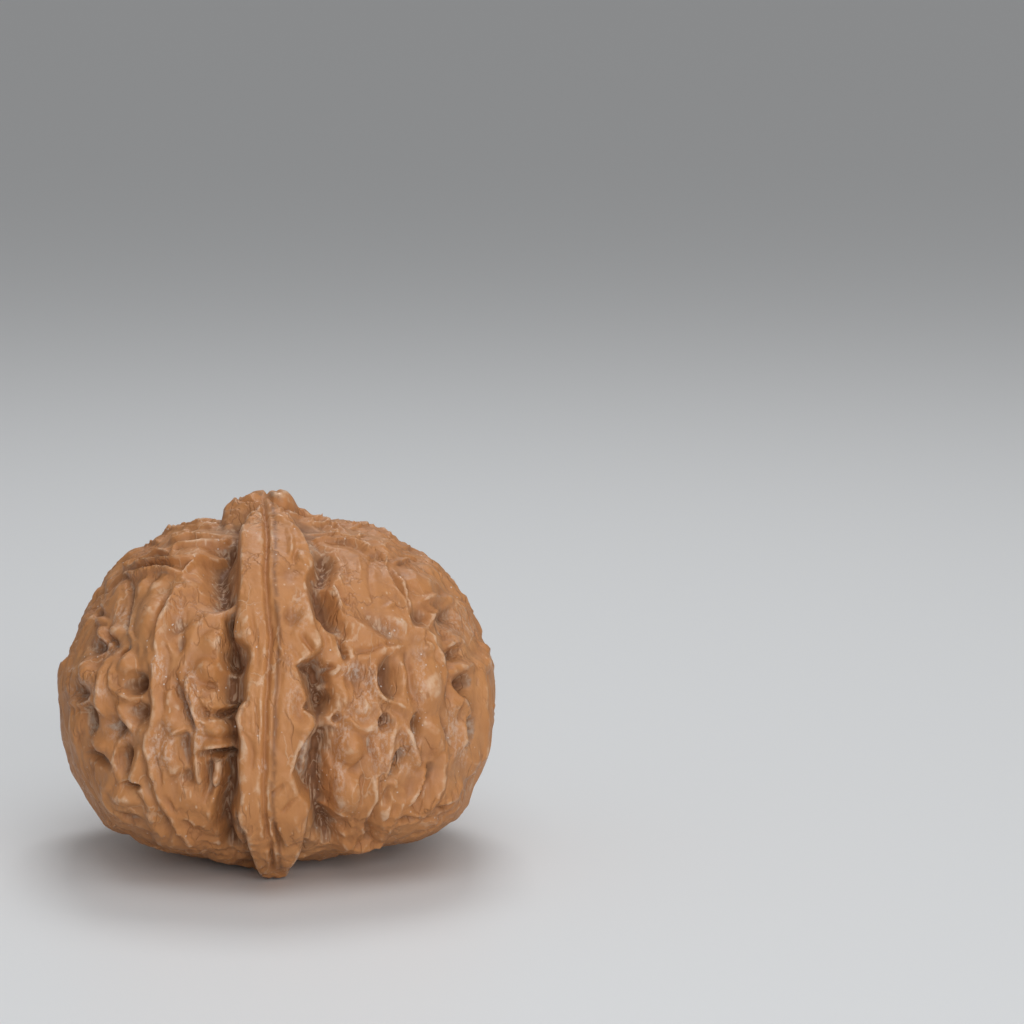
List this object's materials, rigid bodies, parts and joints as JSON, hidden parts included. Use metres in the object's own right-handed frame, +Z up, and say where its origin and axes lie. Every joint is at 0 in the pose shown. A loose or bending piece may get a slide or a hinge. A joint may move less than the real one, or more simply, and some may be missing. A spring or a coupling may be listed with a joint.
{
  "type": "wenwan walnut",
  "caption": "Whole unopened walnut for turning in the hand: squat ribbed and pitted shell of two halves joined along a thick raised seam, with a pinched tip and a sole it stands on.",
  "frame": {"origin": "on the resting plane, under the middle of the nut's footprint", "axes": "+Z up to the tip; -Y out through the broad front edge of the seam keel; X across the two halves"},
  "size_m": [0.0416, 0.0462, 0.0342],
  "materials": {
    "shell": "waxed satin with pale wear on the crests and grey dust in the hollows"
  },
  "bodies": {
    "root": {"walnut": "shell"}
  },
  "joints": []
}
